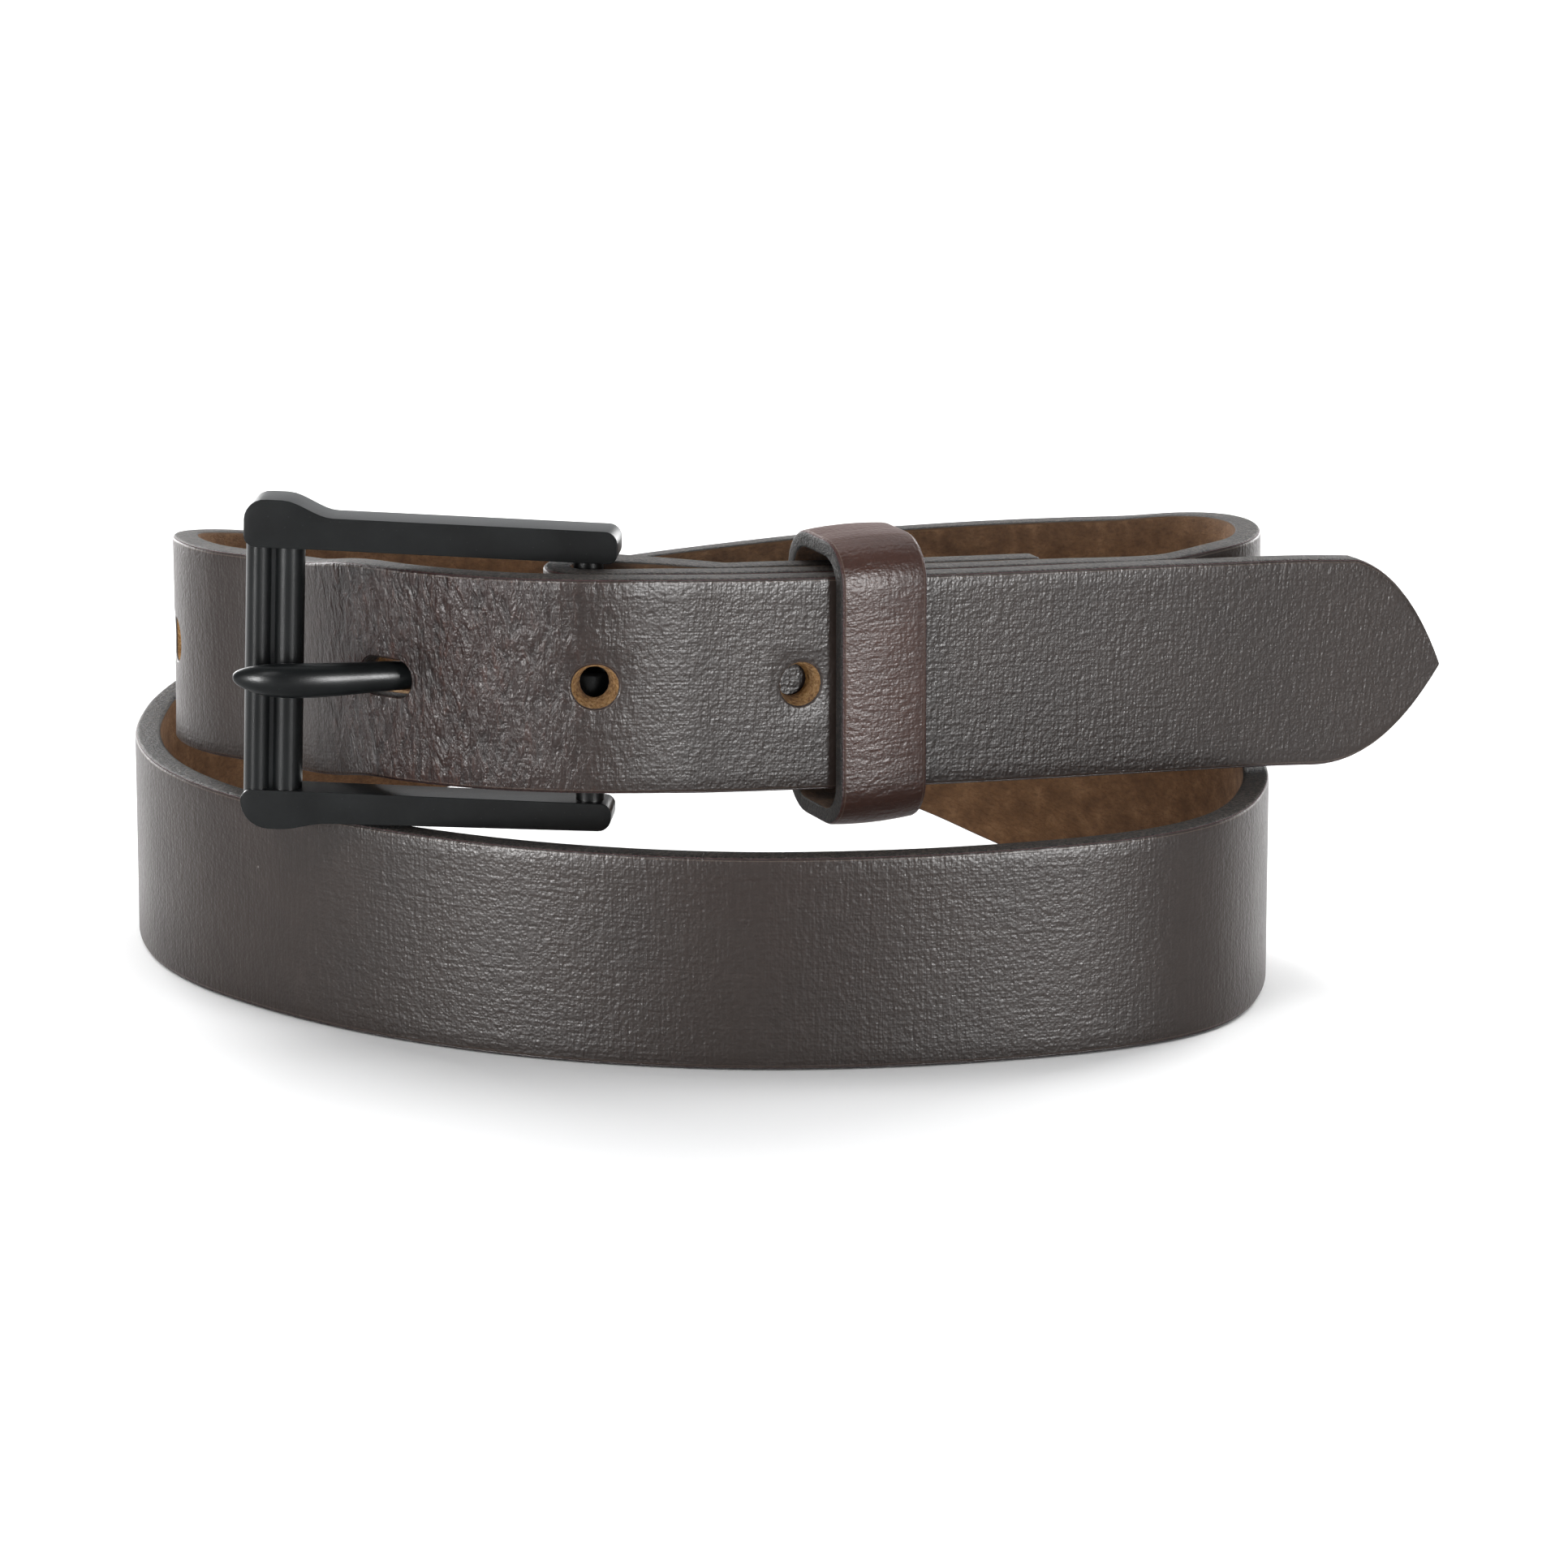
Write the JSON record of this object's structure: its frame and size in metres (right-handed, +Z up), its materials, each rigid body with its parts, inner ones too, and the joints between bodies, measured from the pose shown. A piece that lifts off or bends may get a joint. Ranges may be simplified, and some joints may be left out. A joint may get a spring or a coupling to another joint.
{
  "type": "leather belt",
  "caption": "Coiled, buckled brown leather belt with a pointed end, black square buckle with a tongue, and a sliding leather keeper.",
  "frame": {"origin": "under the middle of the object's box, on the surface that the coiled belt stands on", "axes": "+X to the right along the coil towards the free end, -Y to the front where the buckle is, +Z up the strap's width"},
  "size_m": [0.1796, 0.1114, 0.0725],
  "materials": {
    "strap_leather": "dark brown, waxed grain outside and tan flesh side inside",
    "keeper_leather": "dark red-brown, waxed grain",
    "black_metal": "satin black",
    "fastener_metal": "dark nickel"
  },
  "bodies": {
    "belt": {"strap": "strap_leather", "post_1": "fastener_metal", "post_2": "fastener_metal", "screw_1": "fastener_metal", "screw_2": "fastener_metal"},
    "buckle": {"buckle_frame": "black_metal"},
    "prong": {"tongue": "black_metal"},
    "keeper": {"keeper_loop": "keeper_leather", "staple_1": "fastener_metal", "staple_2": "fastener_metal"}
  },
  "joints": [
    {"name": "buckle_pivot", "type": "hinge", "parent": "belt", "child": "buckle", "pos_m": [-0.02513, -0.04028, 0.0492], "axis": [0, 0, 1], "range_deg": [-0.5, 1]},
    {"name": "tongue_pivot", "type": "hinge", "parent": "buckle", "child": "prong", "pos_m": [-0.02513, -0.04028, 0.0486], "axis": [0, 0, 1], "range_deg": [0, 1.5]},
    {"name": "keeper_slide", "type": "slide", "parent": "belt", "child": "keeper", "axis": [0.9122, 0.4098, 0], "range_m": [-0.005, 0.005]}
  ]
}
